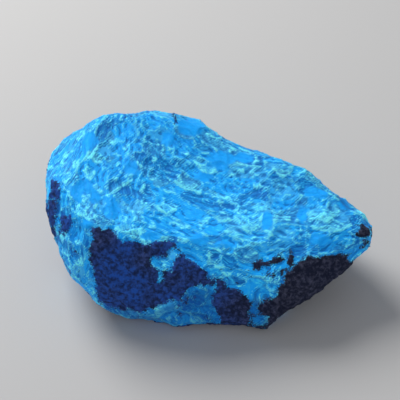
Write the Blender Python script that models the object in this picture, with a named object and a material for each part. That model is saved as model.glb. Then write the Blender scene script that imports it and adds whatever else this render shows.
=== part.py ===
"""One rough amber nodule: a blunt, lumpy chunk with a broad flaked top and a small flat spot to rest on."""

import math
import random

import bmesh
import bpy
import numpy as np
from mathutils import Vector, noise

MM = 0.001

# Driving dimensions, in millimetres. The length runs along X, and the front looks along -Y.
LENGTH = 96.0
DEPTH = 58.0
HEIGHT = 40.0
STOCK = (LENGTH, DEPTH, HEIGHT)
HEART = (0.0, 0.0, 19.0)
SPARE_STOCK = 1.6

# The cuts that chisel the block: the direction each face looks, as azimuth from +X and elevation in
# degrees, and how far that face lies from the heart, in millimetres.
TOP_CUTS = (
    (-51, 78, 14.2),
    (-73, 58, 18.0),
    (-82, 42, 21.8),
    (172, 48, 40.4),
    (-128, 50, 33.0),
    (20, 66, 24.0),
)
FRONT_CUTS = (
    (-102, 10, 28.8),
    (-82, 8, 27.4),
    (-58, 6, 36.0),
    (-140, 14, 41.0),
)
BACK_CUTS = (
    (118, -4, 39.6),
    (92, 2, 27.8),
    (62, 4, 27.0),
    (38, 6, 36.0),
)
END_CUTS = (
    (180, 0, 49.2),
    (-174, -6, 46.2),
    (11, 10, 48.2),
    (-14, -14, 46.2),
)
SHOULDER_CUTS = (
    (90, 45, 31.0),
    (75, 44, 28.9),
    (58, 40, 27.4),
    (43, 34, 32.4),
    (34, 29, 38.0),
    (116, 42, 38.6),
    (142, 32, 49.8),
    (153, 25, 52.4),
)
UNDERSIDE_CUTS = (
    (-37, -31, 38.8),
    (-73, -44, 38.2),
    (-97, -45, 31.4),
    (-131, -37, 42.8),
    (-155, -23, 43.0),
    (180, -45, 36.4),
    (90, -40, 25.8),
    (135, -38, 35.0),
    (48, -38, 31.0),
    (2, -38, 38.8),
    (0, -62, 30.0),
    (180, -62, 29.2),
    (90, -62, 22.8),
    (-92, -66, 28.2),
    (-55, -40, 36.0),
    (0, -76, 23.2),
    (180, -76, 23.4),
    (90, -76, 20.6),
    (-90, -78, 24.0),
)

# Broad hollows and bulges of the skin: the direction of the spot from the heart as azimuth and elevation
# in degrees, its half-width, and how deep it goes or how high it swells, in millimetres.
HOLLOWS = (
    (60, 31, 12.5, 3.2),
    (134, 30, 4.5, 0.9),
    (112, 34, 3.6, 0.6),
    (-122, -27, 9.0, 1.4),
    (-77, -18, 6.0, 0.9),
    (-38, -22, 11.0, 1.2),
)
BULGES = (
    (-128, 4, 16.0, 1.4),
    (-92, 22, 10.0, 1.2),
)

# Waviness of the skin: the size of the waves and how far they move it, in millimetres.
WAVES = (
    (17.0, 1.5),
    (7.0, 0.6),
)

# Flakes lost from the skin: how many, their half-width in millimetres and their depth for that width.
FLAKE_COUNT = 190
FLAKE_HALF_WIDTH = (3.0, 9.5)
FLAKE_DEPTH_SHARE = (0.03, 0.09)
FLAKE_SEED = 7

# No blow presses a point deeper than this many times its own depth, so that sharp arrises stay.
DEEPEST_PRESS = 1.6

# The mesh: the spacing of its points in millimetres, how often its arrises are rounded, and its size.
REMESH_STEP = 1.0
ROUNDING_PASSES = 18
TRIANGLES = 9700

AMBER_BLUE = (0.02, 0.32, 0.78, 1.0)
AMBER_ROUGHNESS = 0.45


def direction(azimuth, elevation):
    """The unit vector that looks along an azimuth and an elevation in degrees."""
    turn, lift = math.radians(azimuth), math.radians(elevation)
    return Vector((math.cos(lift) * math.cos(turn), math.cos(lift) * math.sin(turn), math.sin(lift)))


def clear_scene():
    for obj in list(bpy.data.objects):
        bpy.data.objects.remove(obj, do_unlink=True)


def slice_off(body, point, facing):
    """Cuts away all that lies beyond the plane through a point, and closes the cut with a flat face."""
    geometry = body.verts[:] + body.edges[:] + body.faces[:]
    cut = bmesh.ops.bisect_plane(
        body, geom=geometry, dist=1e-7, plane_co=point, plane_no=facing, clear_outer=True
    )
    rim = [item for item in cut["geom_cut"] if isinstance(item, bmesh.types.BMEdge)]
    if rim:
        bmesh.ops.holes_fill(body, edges=rim, sides=0)


def chiselled_block():
    """A block over the whole stone, with one flat face left by each cut."""
    block = bmesh.new()
    bmesh.ops.create_cube(block, size=1.0)
    heart = Vector(HEART) * MM
    bmesh.ops.scale(block, vec=Vector(STOCK) * SPARE_STOCK * MM, verts=block.verts)
    bmesh.ops.translate(block, vec=heart, verts=block.verts)
    for azimuth, elevation, reach in (
        TOP_CUTS + FRONT_CUTS + BACK_CUTS + END_CUTS + SHOULDER_CUTS + UNDERSIDE_CUTS
    ):
        facing = direction(azimuth, elevation)
        slice_off(block, heart + facing * reach * MM, facing)
    return block


def modified(mesh, kind, **settings):
    """The mesh as one modifier leaves it."""
    holder = bpy.data.objects.new("holder", mesh)
    bpy.context.scene.collection.objects.link(holder)
    modifier = holder.modifiers.new(kind, kind)
    for name, value in settings.items():
        setattr(modifier, name, value)
    evaluated = holder.evaluated_get(bpy.context.evaluated_depsgraph_get())
    result = bpy.data.meshes.new_from_object(evaluated)
    bpy.data.objects.remove(holder, do_unlink=True)
    return result


def skin_of(mesh):
    """The mesh's points and their normals, in millimetres."""
    points = np.empty(len(mesh.vertices) * 3)
    mesh.vertices.foreach_get("co", points)
    normals = np.array([normal.vector for normal in mesh.vertex_normals])
    return points.reshape(-1, 3) / MM, normals


def wave_skin(points, normals):
    """Moves the skin in and out in soft waves of several sizes."""
    for size, height in WAVES:
        rise = np.array([noise.noise(Vector(point / size)) for point in points]) * height
        points += normals * rise[:, None]


def spot_towards(points, azimuth, elevation):
    """The number of the skin point that lies in a direction from the heart."""
    away = points - np.array(HEART)
    away /= np.linalg.norm(away, axis=1)[:, None]
    return int(np.argmax(away @ np.array(direction(azimuth, elevation))))


def nearest_spot(points, target):
    """The number of the skin point that lies nearest to a place."""
    return int(np.argmin(np.linalg.norm(points - np.array(target), axis=1)))


def broad_facing(points, normals, spot, half_width):
    """The way that a whole patch of skin faces, whatever its small lumps do."""
    near = np.linalg.norm(points - points[spot], axis=1) < half_width
    facing = normals[near].mean(axis=0)
    return facing / np.linalg.norm(facing)


def strike(points, spot, facing, half_width, depth):
    """Presses the skin back to a ball that dips into it, which leaves a round hollow."""
    radius = (half_width**2 + depth**2) / (2.0 * depth)
    centre = points[spot] + facing * (radius - depth)
    away = points - centre
    distance = np.linalg.norm(away, axis=1)
    inside = distance < radius
    press = np.minimum(radius - distance[inside], depth * DEEPEST_PRESS)
    points[inside] += away[inside] / distance[inside, None] * press[:, None]


def swell(points, spot, facing, half_width, height):
    """Raises a patch of skin in a soft round bulge."""
    distance = np.linalg.norm(points - points[spot], axis=1) / half_width
    near = distance < 1.0
    rise = (1.0 - distance[near] ** 2) ** 2 * height
    points[near] += facing * rise[:, None]


def shape_skin(points, normals):
    """Gives the rounded block its bulges, waves, broad hollows and flakes."""
    for azimuth, elevation, half_width, height in BULGES:
        spot = spot_towards(points, azimuth, elevation)
        swell(points, spot, broad_facing(points, normals, spot, half_width), half_width, height)
    wave_skin(points, normals)
    for azimuth, elevation, half_width, depth in HOLLOWS:
        spot = spot_towards(points, azimuth, elevation)
        strike(points, spot, broad_facing(points, normals, spot, half_width), half_width, depth)
    chance = random.Random(FLAKE_SEED)
    for _ in range(FLAKE_COUNT):
        target = [middle + side * chance.uniform(-0.5, 0.5) for middle, side in zip(HEART, STOCK)]
        spot = nearest_spot(points, target)
        half_width = chance.uniform(*FLAKE_HALF_WIDTH)
        depth = half_width * chance.uniform(*FLAKE_DEPTH_SHARE)
        strike(points, spot, broad_facing(points, normals, spot, half_width), half_width, depth)


def amber_material():
    material = bpy.data.materials.new("rough_amber")
    material.use_nodes = True
    shader = material.node_tree.nodes["Principled BSDF"]
    shader.inputs["Base Color"].default_value = AMBER_BLUE
    shader.inputs["Roughness"].default_value = AMBER_ROUGHNESS
    shader.inputs["Metallic"].default_value = 0.0
    return material


def stand_on_foot(mesh):
    """Slices the underside level at the ground, and centres the stone over the origin."""
    body = bmesh.new()
    body.from_mesh(mesh)
    slice_off(body, Vector((0, 0, 0)), Vector((0, 0, -1)))
    places = np.array([vertex.co for vertex in body.verts])
    middle = (places.min(axis=0) + places.max(axis=0)) / 2.0
    bmesh.ops.translate(body, vec=Vector((-middle[0], -middle[1], 0)), verts=body.verts)
    bmesh.ops.triangulate(body, faces=body.faces)
    bmesh.ops.recalc_face_normals(body, faces=body.faces)
    body.to_mesh(mesh)
    body.free()


def rounded_block():
    """The chiselled block as one even mesh, with its arrises worn round."""
    block = chiselled_block()
    mesh = bpy.data.meshes.new("block")
    block.to_mesh(mesh)
    block.free()
    mesh = modified(mesh, "REMESH", mode="VOXEL", voxel_size=REMESH_STEP * MM)
    return modified(mesh, "SMOOTH", factor=0.5, iterations=ROUNDING_PASSES)


def build_nodule():
    mesh = rounded_block()
    points, normals = skin_of(mesh)
    shape_skin(points, normals)
    mesh.vertices.foreach_set("co", (points * MM).ravel())
    mesh.update()
    quads_as_triangles = 2.0 * len(mesh.polygons)
    mesh = modified(mesh, "DECIMATE", ratio=min(1.0, TRIANGLES / quads_as_triangles))
    stand_on_foot(mesh)
    mesh.name = "amber_nodule"
    mesh.shade_smooth()
    mesh.materials.clear()
    mesh.materials.append(amber_material())
    nodule = bpy.data.objects.new("amber_nodule", mesh)
    bpy.context.scene.collection.objects.link(nodule)


clear_scene()
build_nodule()
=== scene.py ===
"""The looks of one rough amber nodule: its glowing, flaked skin, its dark crust, the floor and the light."""

import math
import random

import bpy
import numpy as np
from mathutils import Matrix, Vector, noise
from mathutils.kdtree import KDTree


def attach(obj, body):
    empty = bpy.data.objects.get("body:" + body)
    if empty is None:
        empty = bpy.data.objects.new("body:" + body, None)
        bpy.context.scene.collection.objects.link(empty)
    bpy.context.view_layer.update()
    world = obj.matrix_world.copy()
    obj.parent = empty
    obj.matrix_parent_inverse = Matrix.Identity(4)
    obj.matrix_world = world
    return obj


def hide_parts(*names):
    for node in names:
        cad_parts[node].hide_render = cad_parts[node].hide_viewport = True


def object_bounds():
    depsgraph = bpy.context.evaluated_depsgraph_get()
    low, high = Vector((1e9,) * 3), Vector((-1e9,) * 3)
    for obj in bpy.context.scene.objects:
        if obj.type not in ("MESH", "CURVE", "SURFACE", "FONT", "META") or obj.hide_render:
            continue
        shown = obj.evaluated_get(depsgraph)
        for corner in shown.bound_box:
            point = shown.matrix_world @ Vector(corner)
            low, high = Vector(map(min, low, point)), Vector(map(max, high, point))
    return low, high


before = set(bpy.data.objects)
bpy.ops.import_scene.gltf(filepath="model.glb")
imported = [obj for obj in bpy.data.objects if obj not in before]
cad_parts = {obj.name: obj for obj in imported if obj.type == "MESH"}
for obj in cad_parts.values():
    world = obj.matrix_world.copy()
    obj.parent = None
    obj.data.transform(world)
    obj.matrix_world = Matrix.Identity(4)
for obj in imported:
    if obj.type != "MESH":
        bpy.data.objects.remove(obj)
cad_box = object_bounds()

MM = 0.001

# The camera, in millimetres and degrees. The picture is square, and the pixels below are counted in it.
PICTURE = 400
LENS = 117.0
SENSOR = 36.0
CAMERA_AIM = np.array([-2.34, 4.28, 23.28])
CAMERA_DISTANCE = 380.0
CAMERA_LIFT = 45.0
PIXELS_PER_MM = LENS / SENSOR * PICTURE / CAMERA_DISTANCE

# The mesh of the skin, in millimetres.
SKIN_STEP = 0.45
SKIN_SMOOTHING = 10

# Random chips all over the skin: how many, their half-length in millimetres, how strongly small ones
# outnumber large ones, their depth and their width for that length, the share of them with a pale rim of
# frost and painted highlight, and how far their direction strays. None presses deeper than so many times
# its own depth, and none starts closer to the ground than the last of these numbers, in millimetres.
CHIP_COUNT = 4200
CHIP_HALF_LENGTH = (0.6, 3.6)
CHIP_SMALLNESS = 1.5
CHIP_DEPTH_SHARE = (0.06, 0.17)
CHIP_WIDTH_SHARE = (0.9, 2.6)
FROSTED_AND_HIGHLIT_CHIPS = 0.5
CHIP_STRAY = 0.3
CHIP_SEED = 11
DEEPEST_PRESS = 1.3
LOWEST_CHIP = 0.6

# Where the great breaks began, in millimetres: the ripples of the broad skin ring the first place, which
# lies behind the stone, and the splinters of the blunt end fan out from the second.
RIPPLE_CENTRE = np.array([12.0, 62.0, 23.0])
SPLINTER_CENTRE = np.array([-20.0, 46.0, 52.0])
SPLINTER_END = (-10.0, -26.0)

# Places along and across the streaks: how many millimetres a full radian around each centre counts as, and
# the warps that make the streaks wander, each with its size, its reach in millimetres and its shifts.
RIPPLE_ROUND = 75.0
SPLINTER_ROUND = 45.0
FLOW_WARPS = (
    (9.0, 2.2, (1.3, 4.1, 8.7)),
    (3.0, 0.6, (2.3, 5.1, 9.7)),
)

# Wavy ledges along the ripples: their length and width, and how far they stand out, in millimetres.
LEDGES = (
    (5.5, 2.1, 0.20),
    (2.8, 1.1, 0.15),
)

# The edges of the thin plates, as lines in the picture, painted pale as frost and as painted highlight where
# they catch the light: the plate lies on the left hand of someone who walks along the line, and fades away
# over so many pixels. The last two numbers are how bright its painted highlight edge is and how hazy its
# face is, from 0 to 1. A plate with the brightest edge stands out by PLATE_HEIGHT, in millimetres.
PLATE_HEIGHT = 0.22
PLATE_EDGES = {
    "second shell": (
        ((308, 223), (315, 227), (323, 229), (332, 231), (343, 229), (351, 226), (355, 219)), 6, 0.9, 0.5,
    ),
    "first shell": (
        ((306, 208), (312, 215), (319, 219), (328, 221), (334, 217), (339, 212), (346, 206)), 9, 0.9, 0.9,
    ),
    "hazy patch": (((272, 213), (276, 219), (281, 214), (287, 217), (292, 217), (293, 210)), 7, 0.6, 0.8),
    "upper right patch": (
        ((271, 163), (275, 170), (280, 173), (288, 173), (294, 170), (296, 163)), 7, 0.7, 0.8,
    ),
    "lobe left": (((232, 211), (239, 217), (243, 225), (250, 231), (256, 231)), 8, 0.9, 0.2),
    "lobe right": (((255, 229), (261, 223), (263, 214), (265, 206), (263, 198)), 6, 0.7, 0.3),
    "lobe brow": (((234, 205), (240, 210), (247, 208), (249, 205)), 5, 0.8, 0.0),
    "column upper": (((257, 152), (252, 165), (250, 171), (254, 177)), 5, 0.7, 0.2),
    "column lower": (((253, 178), (254, 183), (258, 185), (263, 181)), 5, 0.8, 0.2),
    "long crescent": (((192, 157), (197, 162), (203, 168), (212, 170), (220, 167)), 5, 1.0, 0.3),
    "short blob": (((190, 182), (195, 186), (201, 189), (205, 185)), 5, 0.9, 0.0),
    "hook": (((177, 172), (181, 176), (183, 181)), 3, 0.9, 0.0),
    "pale face brow": (((163, 187), (170, 190), (177, 189)), 4, 0.8, 0.4),
    "pale face foot": (((155, 203), (162, 209), (170, 210), (177, 206), (181, 200)), 8, 0.9, 0.5),
    "pale face slant": (((159, 218), (165, 214), (173, 210)), 4, 0.8, 0.0),
    "long ledge": (((168, 221), (177, 222), (183, 226), (189, 226), (193, 222)), 5, 0.9, 0.2),
    "standing blob": (((199, 214), (201, 226), (206, 220), (213, 214)), 6, 0.9, 0.1),
    "ledge crescent": (((214, 213), (219, 218), (227, 218), (232, 215)), 5, 0.9, 0.3),
    "bright bead": (((217, 196), (221, 199), (226, 198)), 4, 1.0, 0.0),
    "slant bead": (((230, 197), (234, 198), (239, 193)), 4, 0.8, 0.2),
    "mid wisp": (((229, 173), (233, 173), (240, 170), (246, 169)), 4, 0.7, 0.0),
    "upper wisp": (((228, 148), (233, 150), (238, 147)), 5, 0.7, 0.0),
    "rim wisp": (((206, 131), (212, 134), (219, 136), (224, 135)), 4, 0.8, 0.0),
    "streak one": (((228, 234), (237, 234), (246, 232)), 3, 0.9, 0.0),
    "streak two": (((231, 239), (243, 240), (252, 238), (259, 234)), 4, 0.9, 0.0),
    "streak three": (((235, 246), (246, 246), (257, 243), (267, 240)), 5, 0.7, 0.2),
    "streak four": (((216, 248), (221, 250), (228, 248)), 4, 1.0, 0.0),
    "low bead": (((205, 255), (210, 258), (215, 254)), 7, 1.0, 0.0),
    "low right bead": (((263, 237), (270, 239), (276, 234)), 6, 0.7, 0.3),
    "tail": (((243, 256), (251, 257), (259, 251)), 4, 0.7, 0.0),
    "right dashes": (((280, 234), (285, 236), (291, 234), (296, 230)), 4, 0.7, 0.0),
    "frost and highlight over crust": (((112, 228), (120, 232), (128, 232), (136, 228)), 10, 1.0, 0.1),
    "frost and highlight right": (((148, 226), (153, 227), (158, 223)), 6, 0.9, 0.0),
    "frost and highlight far right": (((176, 240), (182, 243), (188, 240)), 8, 0.8, 0.2),
    "crust brow": (((140, 241), (147, 244), (153, 240)), 4, 0.9, 0.0),
    "diagonal": (((99, 196), (106, 195), (114, 190), (123, 184), (134, 180)), 4, 0.9, 0.1),
    "diagonal brow": (((91, 182), (96, 187), (101, 191), (105, 188)), 5, 0.8, 0.4),
    "tall edge": (((128, 181), (133, 179), (134, 170)), 8, 0.7, 0.4),
    "small crescent": (((93, 206), (99, 206), (105, 204), (108, 199)), 5, 0.5, 0.4),
    "vee": (((81, 168), (85, 174), (90, 177), (94, 173), (96, 168)), 7, 0.9, 0.3),
    "lobe one": (((62, 182), (67, 184), (70, 179), (71, 171)), 5, 0.8, 0.1),
    "lobe two": (((81, 194), (86, 199), (90, 196), (90, 191)), 6, 0.8, 0.1),
    "band one": (((72, 210), (80, 216), (88, 220), (94, 218)), 8, 0.9, 0.1),
    "band two": (((74, 204), (77, 209), (81, 205)), 5, 0.8, 0.0),
    "spot one": (((111, 176), (115, 179), (119, 176)), 5, 0.9, 0.1),
    "spot two": (((115, 160), (118, 165), (122, 161)), 6, 0.8, 0.1),
    "upper left blob": (((75, 137), (79, 141), (83, 137), (86, 131)), 6, 0.8, 0.4),
    "upper left spot": (((61, 155), (65, 157), (69, 154)), 6, 0.7, 0.0),
    "notch side": (((122, 146), (126, 150), (130, 143)), 9, 0.7, 0.1),
    "mid foot": (((137, 208), (141, 209), (145, 204), (150, 201)), 5, 0.8, 0.1),
    "pale strand": (((139, 186), (144, 189), (147, 182)), 8, 0.8, 0.1),
    "mottled blob": (((151, 158), (155, 160), (158, 155)), 6, 0.8, 0.4),
    "centre ridge": (((160, 149), (164, 150), (170, 148), (175, 149)), 5, 0.6, 0.1),
    "twin dashes": (((180, 151), (186, 154), (191, 151)), 3, 0.8, 0.0),
    "rim patch": (((326, 184), (330, 189), (336, 194), (340, 199)), 7, 0.8, 0.2),
    "rim patch upper": (((307, 168), (314, 176), (321, 180), (326, 184)), 6, 0.7, 0.2),
}

# Smooth facets that stay clear blue, as middles and half-sizes in the picture. Each one ends softly between
# two shares of its half-size, with a ragged rim, and takes one tone.
FACET_RIM = (1.25, 0.7)
FACET_RAGGEDNESS = 0.35
FACET_TONE = 0.75
CLEAR_FACETS = (
    ((90, 140), (8, 9)),
    ((76, 192), (7, 9)),
    ((95, 195), (6, 6)),
    ((112, 207), (9, 10)),
    ((83, 184), (9, 7)),
    ((86, 224), (6, 5)),
    ((192, 126), (14, 9)),
    ((168, 137), (6, 8)),
    ((222, 158), (14, 9)),
    ((245, 155), (9, 6)),
    ((268, 217), (6, 10)),
    ((205, 172), (9, 5)),
    ((150, 235), (9, 5)),
    ((200, 238), (9, 6)),
    ((225, 243), (10, 4)),
    ((318, 190), (14, 6)),
    ((348, 199), (6, 8)),
    ((321, 238), (10, 6)),
    ((304, 212), (5, 10)),
    ((132, 167), (6, 8)),
)

# Crust, as outlines in the picture. Where the camera doesn't see the stone, clouds of noise place it.
CRUST_OUTLINES = {
    "left": (
        (88, 247), (88, 236), (91, 229), (98, 227), (108, 228), (114, 231), (118, 238), (124, 241),
        (131, 240), (139, 241), (145, 245), (152, 242), (160, 240), (169, 239), (175, 241), (178, 248),
        (184, 255), (191, 260), (198, 266), (204, 272), (208, 280), (206, 286), (196, 288), (190, 290),
        (184, 296), (181, 302), (170, 303), (163, 306), (150, 309), (140, 312), (120, 312), (105, 309),
        (97, 303), (95, 290), (94, 278), (93, 268), (88, 262),
    ),
    "link": ((198, 279), (206, 280), (215, 283), (215, 288), (205, 288), (199, 286)),
    "middle": (
        (214, 279), (219, 281), (225, 283), (228, 289), (236, 292), (248, 298), (252, 304), (250, 322),
        (248, 330), (222, 330), (218, 317), (212, 308), (212, 297), (217, 289),
    ),
    "right": (
        (296, 265), (300, 260), (308, 256), (320, 257), (331, 255), (343, 255), (350, 259), (357, 265),
        (366, 274), (376, 300), (330, 350), (244, 350), (250, 326), (250, 304), (256, 303), (263, 304),
        (269, 300), (278, 295), (277, 288), (284, 283), (286, 278), (290, 270),
    ),
    "ridge spot": ((254, 262), (258, 259), (263, 260), (265, 267), (261, 271), (254, 271)),
    "ridge groove": ((291, 248), (294, 248), (295, 262), (292, 270), (289, 262)),
    "left end upper": ((51, 180), (58, 180), (60, 190), (57, 199), (46, 199), (49, 190)),
    "left end strip": ((46, 199), (54, 199), (54, 215), (54, 236), (48, 236)),
    "left end lower": ((58, 219), (62, 215), (67, 216), (70, 224), (66, 234), (58, 232)),
    "left end spot": ((44, 159), (49, 160), (49, 164), (44, 165)),
    "right end": ((362, 222), (367, 220), (376, 224), (374, 236), (364, 238), (361, 230)),
    "top notch": ((172, 112), (176, 115), (178, 122), (175, 123)),
}
CRUST_GAPS = {
    "cluster": (
        (151, 258), (160, 256), (168, 256), (171, 247), (178, 247), (181, 252), (178, 257), (175, 262),
        (171, 271), (165, 271), (158, 272), (152, 268),
    ),
    "tail": ((157, 274), (162, 274), (162, 283), (158, 283)),
    "low corner": ((250, 305), (257, 304), (257, 314), (251, 315)),
    "low foot": ((251, 318), (266, 316), (270, 324), (252, 328)),
    "low bead": ((291, 316), (299, 312), (301, 314), (294, 319)),
}

# Places where streaks and grains of crust lie scattered on the amber: how deep inside the crust they would
# lie, in millimetres, where less means fewer.
DIRTY_ZONES = {
    "ridge": (-0.9, (
        (206, 278), (222, 268), (245, 266), (262, 257), (285, 248), (300, 246), (298, 262), (280, 286),
        (262, 302), (240, 292), (215, 281),
    )),
    "right end": (-0.7, ((352, 212), (366, 206), (380, 225), (374, 262), (352, 266), (345, 257), (355, 240))),
    "left end": (-0.9, (
        (44, 150), (52, 168), (60, 178), (72, 214), (72, 238), (60, 240), (48, 250), (38, 200),
    )),
    "left strip": (-1.2, ((56, 238), (72, 238), (98, 296), (96, 312), (70, 290), (54, 255))),
    "low front": (-1.2, (
        (98, 309), (150, 312), (181, 303), (184, 296), (212, 290), (222, 330), (150, 330), (96, 322),
    )),
    "crust brow": (-0.6, ((114, 236), (118, 233), (140, 232), (144, 238), (140, 243), (120, 242))),
    "low right": (-1.0, ((248, 296), (262, 300), (258, 330), (248, 330))),
    "top notch": (-0.9, ((118, 110), (139, 110), (139, 121), (120, 119))),
}

# Places where the amber is dark and deep, and where painted shade darkens the low front, as outlines in the
# picture.
DEEP_AND_SHADED_ZONES = {
    "low front": (
        (98, 309), (150, 311), (181, 303), (184, 292), (212, 288), (224, 335), (150, 335), (92, 325),
    ),
    "low right": ((248, 300), (262, 300), (274, 330), (248, 330)),
    "back rim": ((336, 190), (344, 188), (356, 202), (350, 208)),
}

# Layers of clouds, each with its size in millimetres, its strength and its shift: where the crust lies on
# the hidden sides, how ragged its rim is, and the lumps of its surface.
HIDDEN_CRUST = ((19.0, 1.3, 3.7), (8.0, 0.6, 9.1))
CRUST_RIM = ((2.4, 0.7, 5.0), (0.9, 0.6, 7.0))
CRUST_LUMPS = ((2.6, 0.34, 1.0), (1.0, 0.30, 2.0))

# The hidden crust: how steeply it deepens, how much its clouds have to exceed, and how far it shuns the top.
# The last two numbers are the facing, seen from the camera, where the outlines give way to it.
HIDDEN_STEEPNESS = 9.0
HIDDEN_THRESHOLD = 0.12
HIDDEN_SHUNS_TOP = 0.35
HIDDEN_FACING = (-0.05, -0.4)

# The crust's depth is kept within this many millimetres, and it stands out over the amber by this much.
DEEPEST_CRUST = 4.0
CRUST_RISE = 0.22

# The bend of the mesh, in millimetres, that counts as a full ridge.
SHARPEST_BEND = 0.03

# Colours, in linear light.
# The amber blues are the stone's fluorescent glow under ultraviolet light, painted as its colour.
DEEP_AMBER = (0.002, 0.125, 0.48, 1.0)
AZURE_AMBER = (0.006, 0.36, 0.98, 1.0)
SKY_AMBER = (0.05, 0.64, 1.0, 1.0)
# Pale frost and painted highlight on chip rims, plate edges and crests.
FROST_AND_HIGHLIGHT_AMBER = (0.16, 0.84, 1.0, 1.0)
# Painted shade: the amber darkens to this in the grooves of the skin.
GROOVE_SHADE_AMBER = (0.002, 0.11, 0.40, 1.0)
HAZE_AMBER = (0.07, 0.42, 0.72, 1.0)
# Darker, deeper amber together with painted shade on the low front.
DEEP_AND_SHADE_BLUE = (0.003, 0.055, 0.26, 1.0)
CRUST_DARK = (0.008, 0.011, 0.028, 1.0)
CRUST_DUST = (0.050, 0.055, 0.095, 1.0)
CRUST_NAVY = (0.014, 0.070, 0.340, 1.0)
CRUST_SPECK = (0.14, 0.19, 0.27, 1.0)
# GLOW is painted glow: the whole stone emits its own colour, standing in for its fluorescence, though it is
# no lamp.
GLOW = 0.22

# The finish of the amber and the crust: roughness, the share of plain shine, and the fine relief of the
# texture, in metres and as a share.
AMBER_ROUGHNESS = 0.45
CRUST_ROUGHNESS = 0.85
SHINE = 0.12
RELIEF_DEPTH = 0.0003
RELIEF_STRENGTH = 0.8

# The texture's streaks are stretched along the flow. The other scales are per millimetre.
STROKE_STRETCH = (0.45, 2.0, 0.37)
THREAD_STRETCH = (1.3, 4.6, 0.61)
SPECKLE_SCALE = 2.6
MOTTLE_SCALE = 0.75
PATCH_SCALE = 0.16

# The floor, in linear light and metres.
FLOOR_GREY = (0.50, 0.50, 0.50, 1.0)
FLOOR_ROUGHNESS = 0.9
FLOOR_SIZE = 6.0
FLOOR_DROP = 0.0001

# Lights: places and sizes in metres, power in watts, and colours.
LIGHTS = {
    "key": ((-0.35, 0.38, 0.50), 0.45, 5.6, (1.0, 0.98, 0.95)),
    "fill": ((0.1, -0.6, 0.45), 0.6, 0.8, (0.95, 0.97, 1.0)),
}
LIGHTS_AIM = (0, 0, 0.02)
ROOM_COLOUR = (0.9, 0.93, 1.0, 1.0)
ROOM_LIGHT = 0.32


def unit(vector):
    return vector / np.linalg.norm(vector)


def smooth_step(low, high, value):
    share = np.clip((value - low) / (high - low), 0.0, 1.0)
    return share * share * (3.0 - 2.0 * share)


def camera_axes():
    """The camera's directions to its right, up and forwards."""
    lift = math.radians(CAMERA_LIFT)
    right = np.array([1.0, 0.0, 0.0])
    up = np.array([0.0, math.sin(lift), math.cos(lift)])
    forwards = np.array([0.0, math.cos(lift), -math.sin(lift)])
    return right, up, forwards


def pixels_of(points):
    """Where points of the stone, in millimetres, lie in the picture."""
    right, up, forwards = camera_axes()
    away = points - (CAMERA_AIM - forwards * CAMERA_DISTANCE)
    scale = LENS / SENSOR * PICTURE / (away @ forwards)
    return np.stack([PICTURE / 2 + away @ right * scale, PICTURE / 2 - away @ up * scale], axis=1)


def clouds(points, size, shift=0.0):
    """Soft noise between about -1 and 1 at each point, with lumps of that size."""
    return np.array([noise.noise(Vector(point / size + shift)) for point in points])


def layered_clouds(points, layers):
    """Clouds of several sizes, added up."""
    return sum(clouds(points, size, shift) * strength for size, strength, shift in layers)


def depth_inside(pixels, outline):
    """How deep each pixel lies inside an outline, in pixels, and below zero how far outside."""
    corners = np.array(outline, float)
    nearest = np.full(len(pixels), 1e9)
    crossings = np.zeros(len(pixels), int)
    for start, end in zip(corners, np.roll(corners, -1, axis=0)):
        side = end - start
        away = pixels - start
        share = np.clip(away @ side / (side @ side), 0.0, 1.0)
        nearest = np.minimum(nearest, np.linalg.norm(away - share[:, None] * side, axis=1))
        spans = (start[1] > pixels[:, 1]) != (end[1] > pixels[:, 1])
        slope = side[0] / (side[1] if side[1] else 1e-9)
        crossings += spans & (pixels[:, 0] < start[0] + (pixels[:, 1] - start[1]) * slope)
    return np.where(crossings % 2 == 1, nearest, -nearest)


def beside_line(pixels, line):
    """How far each pixel lies to the left of a line, in pixels, and how far along it, from 0 to 1."""
    corners = np.array(line, float)
    steps = np.diff(corners, axis=0)
    lengths = np.linalg.norm(steps, axis=1)
    nearest = np.full(len(pixels), 1e9)
    offset = np.zeros(len(pixels))
    along = np.zeros(len(pixels))
    passed = 0.0
    for start, step, length in zip(corners, steps, lengths):
        away = pixels - start
        share = np.clip(away @ step / length**2, 0.0, 1.0)
        distance = np.linalg.norm(away - share[:, None] * step, axis=1)
        side = step[1] * away[:, 0] - step[0] * away[:, 1]
        closer = distance < nearest
        nearest[closer] = distance[closer]
        offset[closer] = (np.sign(side) * distance)[closer]
        along[closer] = (passed + share * length)[closer] / lengths.sum()
        passed += length
    return offset, along


class Skin:
    """The points of the stone's skin in millimetres, and what each one shows."""

    def __init__(self, mesh):
        count = len(mesh.vertices)
        places = np.empty(count * 3)
        mesh.vertices.foreach_get("co", places)
        self.points = places.reshape(-1, 3) / MM
        self.normals = np.array([normal.vector for normal in mesh.vertex_normals])
        ends = np.empty(len(mesh.edges) * 2, int)
        mesh.edges.foreach_get("vertices", ends)
        self.edges = ends.reshape(-1, 2)
        self.tree = KDTree(count)
        for number, point in enumerate(self.points):
            self.tree.insert(point, number)
        self.tree.balance()
        self.pixels = pixels_of(self.points)
        self.towards_camera = -self.normals @ camera_axes()[2]
        self.tone = np.full(count, 0.5)
        self.frost_and_highlight = np.zeros(count)
        self.haze = np.zeros(count)
        self.calm = np.zeros(count)
        self.flow = np.zeros((count, 3))

    def around(self, place, reach):
        return np.array([found[1] for found in self.tree.find_range(place, reach)], int)

    def nearest(self, place):
        return self.tree.find(place)[1]

    def neighbour_mean(self, values):
        """The mean of each point's neighbours along the mesh's edges."""
        total = np.zeros_like(values)
        number = np.zeros(len(values))
        for here, there in (self.edges.T, self.edges.T[::-1]):
            np.add.at(total, here, values[there])
            np.add.at(number, here, 1)
        return total / (number if values.ndim == 1 else number[:, None])


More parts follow.
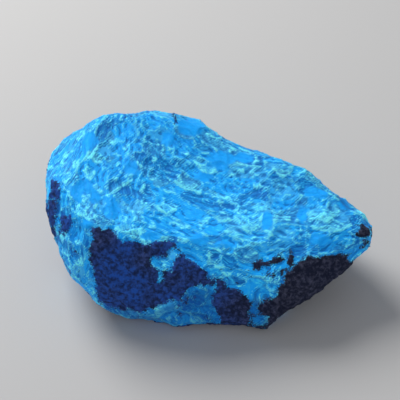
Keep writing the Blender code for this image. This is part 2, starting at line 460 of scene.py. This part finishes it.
def modified(mesh, kind, **settings):
    """The mesh as one modifier leaves it."""
    holder = bpy.data.objects.new("holder", mesh)
    bpy.context.scene.collection.objects.link(holder)
    modifier = holder.modifiers.new(kind, kind)
    for name, value in settings.items():
        setattr(modifier, name, value)
    evaluated = holder.evaluated_get(bpy.context.evaluated_depsgraph_get())
    result = bpy.data.meshes.new_from_object(evaluated)
    bpy.data.objects.remove(holder, do_unlink=True)
    return result


def fine_skin_mesh():
    """The frame's solid as one fine, even mesh with its facets smoothed away."""
    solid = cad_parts["amber_nodule"].data.copy()
    fine = modified(solid, "REMESH", mode="VOXEL", voxel_size=SKIN_STEP * MM)
    return modified(fine, "SMOOTH", factor=0.5, iterations=SKIN_SMOOTHING)


def splinter_share(points):
    """How far each point belongs to the splintery blunt end, from 0 to 1."""
    return smooth_step(*SPLINTER_END, points[..., 0])


def travel_direction(point):
    """The way that the great breaks ran over the skin at a place."""
    ripple = unit(point - RIPPLE_CENTRE)
    splinter = unit(point - SPLINTER_CENTRE)
    return unit(ripple + (splinter - ripple) * splinter_share(point))


def lay_flow(skin):
    """Gives each point its place along and across the fine streaks, in millimetres."""
    warp = np.zeros_like(skin.points)
    for size, reach, shifts in FLOW_WARPS:
        warp += np.stack([clouds(skin.points, size, shift) for shift in shifts], axis=1) * reach
    points = skin.points + warp
    from_centre = points - RIPPLE_CENTRE
    ring = np.linalg.norm(from_centre, axis=1)
    turn = np.arctan2(from_centre[:, 0], -from_centre[:, 1]) * RIPPLE_ROUND
    from_splinter = points - SPLINTER_CENTRE
    reach = np.linalg.norm(from_splinter, axis=1)
    lean = np.arctan2(from_splinter[:, 0], -from_splinter[:, 1]) * SPLINTER_ROUND
    splintery = splinter_share(points) > 0.5
    skin.flow[:, 0] = np.where(splintery, reach, turn)
    skin.flow[:, 1] = np.where(splintery, lean, ring)


def cut_ledges(skin):
    """Ripples the skin with sharp little crests that follow the streaks."""
    for length, width, height in LEDGES:
        stretched = skin.flow * np.array([1.0 / length, 1.0 / width, 0.02])
        crest = 1.0 - 2.4 * np.abs(clouds(stretched, 1.0, length))
        skin.points += skin.normals * (height * (crest - 0.45) * (1.0 - 0.7 * skin.calm))[:, None]


def chip(skin, spot, travel, half_length, half_width, depth, tone, frost_and_highlight, haze):
    """Cuts one shallow, round-floored flake out of the skin, and paints what its floor shows, with frost and
    painted highlight growing towards its lower rim.
    """
    centre = skin.points[spot].copy()
    # The tree holds the skin before any chip, which may lie out of a small chip's reach.
    near = skin.around(centre, 1.5 * max(half_length, half_width) + 0.5)
    if not len(near):
        return
    facing = unit(skin.normals[near].mean(axis=0))
    down = unit(travel - facing * (travel @ facing))
    across = np.cross(facing, down)
    away = skin.points[near] - centre
    x = away @ across / half_width
    y = away @ down / half_length
    press = np.minimum(away @ facing - depth * (x * x + y * y - 1.0), depth * DEEPEST_PRESS)
    cut = (press > 0.0) & (skin.normals[near] @ facing > 0.3)
    hit = near[cut]
    skin.points[hit] -= facing * press[cut][:, None]
    skin.tone[hit] = tone
    # Frost and painted highlight, brighter towards the chip's lower rim.
    skin.frost_and_highlight[hit] = frost_and_highlight * smooth_step(-0.2, 0.9, y[cut])
    skin.haze[hit] = haze
    skin.flow[hit, 2] = tone * 50.0


def random_chips(skin):
    chance = random.Random(CHIP_SEED)
    low, high = (np.array(corner) / MM for corner in cad_box)
    smallest, largest = CHIP_HALF_LENGTH
    for _ in range(CHIP_COUNT):
        place = [chance.uniform(a, b) for a, b in zip(low, high)]
        half_length = smallest * (largest / smallest) ** (chance.random() ** CHIP_SMALLNESS)
        half_width = half_length * chance.uniform(*CHIP_WIDTH_SHARE)
        depth = half_length * chance.uniform(*CHIP_DEPTH_SHARE)
        tone = chance.random()
        frost_and_highlight = chance.uniform(0.3, 1.0) if chance.random() < FROSTED_AND_HIGHLIT_CHIPS else 0.0
        haze = max(0.0, chance.uniform(-2.0, 1.0))
        spread = np.array([chance.gauss(0.0, CHIP_STRAY) for _ in range(3)])
        spot = skin.nearest(place)
        if skin.points[spot][2] < LOWEST_CHIP:
            continue
        if chance.random() < splinter_share(skin.points[spot]):
            half_length, half_width = half_width, half_length
        travel = travel_direction(skin.points[spot]) + spread
        chip(skin, spot, travel, half_length, half_width, depth, tone, frost_and_highlight, haze)


def facing_camera(skin, pixel_box, margin):
    """The points that the camera sees within a box of the picture."""
    corners = np.array(pixel_box, float)
    low, high = corners.min(axis=0) - margin, corners.max(axis=0) + margin
    inside = np.all((skin.pixels > low) & (skin.pixels < high), axis=1)
    return np.nonzero(inside & (skin.towards_camera > 0.05))[0]


def calm_facets(skin):
    for middle, half in CLEAR_FACETS:
        near = facing_camera(skin, [middle], max(half) * 1.4)
        away = np.linalg.norm((skin.pixels[near] - middle) / half, axis=1)
        calm = smooth_step(*FACET_RIM, away + FACET_RAGGEDNESS * clouds(skin.points[near], 2.0, 6.0))
        skin.calm[near] = np.maximum(skin.calm[near], calm)
        skin.frost_and_highlight[near] *= 1.0 - calm
        skin.haze[near] *= 1.0 - calm
        skin.tone[near] += (FACET_TONE - skin.tone[near]) * calm


def raise_plates(skin):
    """Lays thin plates on the skin, each with one sharp edge painted bright, as frost and painted highlight.
    """
    for line, fade, bright, hazy in PLATE_EDGES.values():
        near = facing_camera(skin, line, fade * 2.0)
        wobble = 1.3 * clouds(skin.points[near], 1.5, 3.0)
        offset, along = beside_line(skin.pixels[near], line)
        inside = smooth_step(-1.0, 0.6, offset + wobble)
        ends = smooth_step(0.0, 0.12, along) * smooth_step(1.0, 0.88, along)
        face = inside * ends * np.exp(-np.maximum(offset, 0.0) / fade)
        skin.frost_and_highlight[near] = np.maximum(skin.frost_and_highlight[near] * (1.0 - face), face * bright)
        film = hazy * inside * ends * smooth_step(2.2 * fade, 0.5 * fade, offset)
        skin.haze[near] = np.maximum(skin.haze[near], film)
        skin.points[near] += skin.normals[near] * (PLATE_HEIGHT * face * bright)[:, None]


def crust_depth(skin):
    """How deep each point lies inside the crust, in millimetres, and below zero how far outside."""
    seen = np.full(len(skin.points), -1e9)
    for outline in CRUST_OUTLINES.values():
        seen = np.maximum(seen, depth_inside(skin.pixels, outline) / PIXELS_PER_MM)
    for outline in CRUST_GAPS.values():
        seen = np.minimum(seen, -depth_inside(skin.pixels, outline) / PIXELS_PER_MM)
    streaky = clouds(skin.flow * np.array([1 / 4.5, 1 / 1.3, 0.05]), 1.0, 2.0)
    for level, outline in DIRTY_ZONES.values():
        inside = smooth_step(-1.0, 1.0, depth_inside(skin.pixels, outline) / PIXELS_PER_MM)
        scattered = level + 1.6 * streaky - 6.0 * (1.0 - inside)
        seen = np.maximum(seen, scattered)
    broad = layered_clouds(skin.points, HIDDEN_CRUST)
    hidden = HIDDEN_STEEPNESS * (broad - HIDDEN_THRESHOLD - HIDDEN_SHUNS_TOP * skin.normals[:, 2])
    share = smooth_step(*HIDDEN_FACING, skin.towards_camera)
    depth = seen + (hidden - seen) * share
    ragged = layered_clouds(skin.points, CRUST_RIM) + 0.5 * streaky
    return np.clip(depth + ragged, -DEEPEST_CRUST, DEEPEST_CRUST)


def crust_veil_and_shade(skin):
    """How far the blue shows through thin crust, with the crust painted darker towards the shaded right end:
    0 is thick and dark and 1 is almost bare.
    """
    return smooth_step(22.0, -12.0, skin.points[:, 0]) * (0.6 + 0.5 * clouds(skin.points, 7.0, 12.0))


def deep_and_shade_share(skin):
    """How dark and deep the amber is, with painted shade low on the front, from 0 to 1."""
    deep_and_shade = np.zeros(len(skin.points))
    for outline in DEEP_AND_SHADED_ZONES.values():
        deep_and_shade = np.maximum(deep_and_shade, smooth_step(-1.0, 1.5, depth_inside(skin.pixels, outline) / PIXELS_PER_MM))
    return deep_and_shade * smooth_step(-0.3, 0.0, skin.towards_camera)


def grow_crust(skin, depth):
    """Raises the crust a little over the amber, with a lumpy, grainy surface."""
    inside = smooth_step(-0.2, 0.6, depth)
    lumps = layered_clouds(skin.points, CRUST_LUMPS)
    skin.points += skin.normals * ((CRUST_RISE + lumps) * inside)[:, None]


def ridge_strength(skin):
    """How sharply each point stands out from its neighbours, from -1 in a groove to 1 on a ridge."""
    bend = (skin.points - skin.neighbour_mean(skin.points)) * skin.normals
    bend = skin.neighbour_mean(bend.sum(axis=1))
    return np.clip(bend / SHARPEST_BEND, -1.0, 1.0)


def store(mesh, name, values):
    """Keeps one number, or three, for each point of the mesh."""
    kind, key = ("FLOAT", "value") if values.ndim == 1 else ("FLOAT_VECTOR", "vector")
    attribute = mesh.attributes.new(name, kind, "POINT")
    attribute.data.foreach_set(key, values.astype(np.float32).ravel())


def build_nodule():
    mesh = fine_skin_mesh()
    skin = Skin(mesh)
    lay_flow(skin)
    random_chips(skin)
    calm_facets(skin)
    cut_ledges(skin)
    raise_plates(skin)
    depth = crust_depth(skin)
    grow_crust(skin, depth)
    skin.points[:, 2] = np.maximum(skin.points[:, 2], 0.0)
    mesh.vertices.foreach_set("co", (skin.points * MM).ravel())
    mesh.update()
    skin.normals = np.array([normal.vector for normal in mesh.vertex_normals])
    for name, values in {
        "crust": depth,
        "veil_and_shade": crust_veil_and_shade(skin),
        "deep_and_shade": deep_and_shade_share(skin),
        "tone": skin.tone,
        "frost_and_highlight": skin.frost_and_highlight,
        "haze": skin.haze,
        "calm": skin.calm,
        "flow": skin.flow,
        "ridge": ridge_strength(skin),
    }.items():
        store(mesh, name, values)
    mesh.shade_smooth()
    mesh.materials.clear()
    mesh.materials.append(amber_material())
    nodule = bpy.data.objects.new("amber_skin", mesh)
    bpy.context.scene.collection.objects.link(nodule)
    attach(nodule, "root")
    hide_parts("amber_nodule")


class Recipe:
    """Builds a material's nodes, with one short call for each step."""

    def __init__(self, name):
        self.material = bpy.data.materials.new(name)
        self.material.use_nodes = True
        self.tree = self.material.node_tree
        self.shader = self.tree.nodes["Principled BSDF"]

    def plug(self, socket, value):
        """Links a node's output into a socket, or sets the socket to a plain value."""
        if isinstance(value, bpy.types.NodeSocket):
            self.tree.links.new(value, socket)
        else:
            socket.default_value = value

    def attribute(self, name, output="Fac"):
        node = self.tree.nodes.new("ShaderNodeAttribute")
        node.attribute_name = name
        return node.outputs[output]

    def place(self):
        return self.tree.nodes.new("ShaderNodeTexCoord").outputs["Object"]

    def scaled(self, vector, scale):
        node = self.tree.nodes.new("ShaderNodeVectorMath")
        node.operation = "MULTIPLY"
        self.plug(node.inputs[0], vector)
        node.inputs[1].default_value = scale
        return node.outputs["Vector"]

    def grain(self, vector, scale, detail=2.0, rough=0.5, twist=0.0):
        node = self.tree.nodes.new("ShaderNodeTexNoise")
        self.plug(node.inputs["Vector"], vector)
        node.inputs["Scale"].default_value = scale
        node.inputs["Detail"].default_value = detail
        node.inputs["Roughness"].default_value = rough
        node.inputs["Distortion"].default_value = twist
        return node.outputs["Fac"]

    def math(self, operation, first, second):
        node = self.tree.nodes.new("ShaderNodeMath")
        node.operation = operation
        self.plug(node.inputs[0], first)
        self.plug(node.inputs[1], second)
        return node.outputs["Value"]

    def between(self, value, low, high, from_low=0.0, from_high=1.0):
        """A number that goes smoothly from one value to another while the input goes from low to high."""
        node = self.tree.nodes.new("ShaderNodeMapRange")
        node.interpolation_type = "SMOOTHSTEP"
        self.plug(node.inputs["Value"], value)
        node.inputs["From Min"].default_value = low
        node.inputs["From Max"].default_value = high
        node.inputs["To Min"].default_value = from_low
        node.inputs["To Max"].default_value = from_high
        return node.outputs["Result"]

    def blend(self, share, first, second):
        node = self.tree.nodes.new("ShaderNodeMix")
        node.data_type = "RGBA"
        self.plug(node.inputs["Factor"], share)
        colours = [socket for socket in node.inputs if socket.type == "RGBA"]
        self.plug(colours[0], first)
        self.plug(colours[1], second)
        return [socket for socket in node.outputs if socket.type == "RGBA"][0]

    def bump(self, height, distance, strength):
        node = self.tree.nodes.new("ShaderNodeBump")
        self.plug(node.inputs["Height"], height)
        node.inputs["Distance"].default_value = distance
        node.inputs["Strength"].default_value = strength
        return node.outputs["Normal"]


def amber_material():
    recipe = Recipe("rough_amber")
    place = recipe.scaled(recipe.place(), (1000.0, 1000.0, 1000.0))
    flow = recipe.attribute("flow", "Vector")
    ridge = recipe.attribute("ridge")
    lively = recipe.math("SUBTRACT", 1.0, recipe.math("MULTIPLY", recipe.attribute("calm"), 0.75))
    strokes = recipe.grain(recipe.scaled(flow, STROKE_STRETCH), 1.0, 4.0, 0.62, 0.7)
    threads = recipe.grain(recipe.scaled(flow, THREAD_STRETCH), 1.0, 3.0, 0.65, 0.4)
    speckle = recipe.grain(place, SPECKLE_SCALE, 3.0, 0.7)
    patches = recipe.grain(place, PATCH_SCALE, 3.0, 0.6, 0.8)
    mottle = recipe.grain(place, MOTTLE_SCALE, 4.0, 0.7)

    # The amber's own tone, from the chips' random tones and the streaks.
    blue_tone = recipe.math("MULTIPLY", recipe.attribute("tone"), 0.45)
    blue_tone = recipe.math("ADD", blue_tone, recipe.math("MULTIPLY", strokes, 0.55))
    amber = recipe.blend(recipe.between(blue_tone, 0.18, 0.66), DEEP_AMBER, AZURE_AMBER)

    busy = recipe.math("MULTIPLY", recipe.between(patches, 0.36, 0.62, 0.4, 1.0), lively)
    lines = recipe.math("ADD", recipe.math("MULTIPLY", strokes, 0.6), recipe.math("MULTIPLY", threads, 0.6))
    lines = recipe.math("MULTIPLY", recipe.between(lines, 0.56, 0.80), busy)
    amber = recipe.blend(lines, amber, SKY_AMBER)

    # Painted highlight: ridges and crests are painted paler, added to the frost.
    painted_crest_highlights = recipe.math("MULTIPLY", recipe.between(ridge, 0.1, 0.9, 0.0, 0.85), lively)
    pale = recipe.math("ADD", recipe.attribute("frost_and_highlight"), painted_crest_highlights)
    pale = recipe.math("MULTIPLY", pale, recipe.between(threads, 0.34, 0.64, 0.25, 1.25))
    amber = recipe.blend(recipe.math("MULTIPLY", recipe.attribute("haze"), 0.6), amber, HAZE_AMBER)
    amber = recipe.blend(recipe.between(pale, 0.12, 1.0), amber, FROST_AND_HIGHLIGHT_AMBER)
    # Painted shade: grooves of the skin are painted darker.
    painted_groove_shade = recipe.math("MULTIPLY", recipe.between(ridge, -0.15, -0.9, 0.0, 0.7), lively)
    amber = recipe.blend(painted_groove_shade, amber, GROOVE_SHADE_AMBER)
    # Darker, deeper amber and painted shade low on the front.
    amber = recipe.blend(recipe.between(recipe.attribute("deep_and_shade"), 0.0, 1.0, 0.0, 0.6), amber, DEEP_AND_SHADE_BLUE)

    # Thin crust shows navy, and the crust is painted darker towards the shaded right end.
    thin_and_unshaded_crust = recipe.math("MULTIPLY", recipe.attribute("veil_and_shade"), recipe.between(mottle, 0.35, 0.7, 0.2, 1.6))
    crust_colour = recipe.blend(recipe.between(mottle, 0.42, 0.72), CRUST_DARK, CRUST_DUST)
    crust_colour = recipe.blend(thin_and_unshaded_crust, crust_colour, CRUST_NAVY)
    crust_colour = recipe.blend(recipe.between(speckle, 0.66, 0.76), crust_colour, CRUST_SPECK)
    crust = recipe.math("ADD", recipe.attribute("crust"), recipe.between(speckle, 0.25, 0.75, -0.6, 0.6))
    crust = recipe.between(crust, -0.2, 0.2)
    colour = recipe.blend(crust, amber, crust_colour)

    shader = recipe.shader
    recipe.plug(shader.inputs["Base Color"], colour)
    # Painted glow: the skin emits its own colour at GLOW strength.
    recipe.plug(shader.inputs["Emission Color"], colour)
    shader.inputs["Emission Strength"].default_value = GLOW
    recipe.plug(shader.inputs["Roughness"], recipe.between(crust, 0.0, 1.0, AMBER_ROUGHNESS, CRUST_ROUGHNESS))
    shader.inputs["Specular IOR Level"].default_value = SHINE
    fine = recipe.math("ADD", recipe.math("ADD", strokes, threads), recipe.math("MULTIPLY", speckle, 0.6))
    recipe.plug(shader.inputs["Normal"], recipe.bump(fine, RELIEF_DEPTH, RELIEF_STRENGTH))
    return recipe.material


def floor_material():
    recipe = Recipe("pale_floor")
    recipe.shader.inputs["Base Color"].default_value = FLOOR_GREY
    recipe.shader.inputs["Roughness"].default_value = FLOOR_ROUGHNESS
    return recipe.material


def build_floor():
    bpy.ops.mesh.primitive_plane_add(size=FLOOR_SIZE, location=(0.0, 0.0, -FLOOR_DROP))
    floor = bpy.context.active_object
    floor.name = "floor"
    floor.data.materials.append(floor_material())


def add_light(name, place, size, power, colour):
    lamp = bpy.data.lights.new(name, "AREA")
    lamp.shape = "DISK"
    lamp.size = size
    lamp.energy = power
    lamp.color = colour
    holder = bpy.data.objects.new(name, lamp)
    holder.location = place
    holder.rotation_euler = (Vector(LIGHTS_AIM) - Vector(place)).to_track_quat("-Z", "Y").to_euler()
    bpy.context.scene.collection.objects.link(holder)


def light_studio():
    for name, settings in LIGHTS.items():
        add_light(name, *settings)
    world = bpy.data.worlds.new("studio")
    world.use_nodes = True
    world.node_tree.nodes["Background"].inputs["Color"].default_value = ROOM_COLOUR
    world.node_tree.nodes["Background"].inputs["Strength"].default_value = ROOM_LIGHT
    bpy.context.scene.world = world


def set_camera():
    camera = bpy.data.cameras.new("camera")
    camera.lens = LENS
    camera.sensor_width = SENSOR
    camera.clip_start = 0.01
    camera.clip_end = 20.0
    holder = bpy.data.objects.new("camera", camera)
    forwards = camera_axes()[2]
    holder.location = (CAMERA_AIM - forwards * CAMERA_DISTANCE) * MM
    holder.rotation_euler = (math.radians(90.0 - CAMERA_LIFT), 0.0, 0.0)
    bpy.context.scene.collection.objects.link(holder)
    bpy.context.scene.camera = holder


set_camera()
bpy.context.scene.view_settings.view_transform = "Standard"
light_studio()
build_floor()
build_nodule()
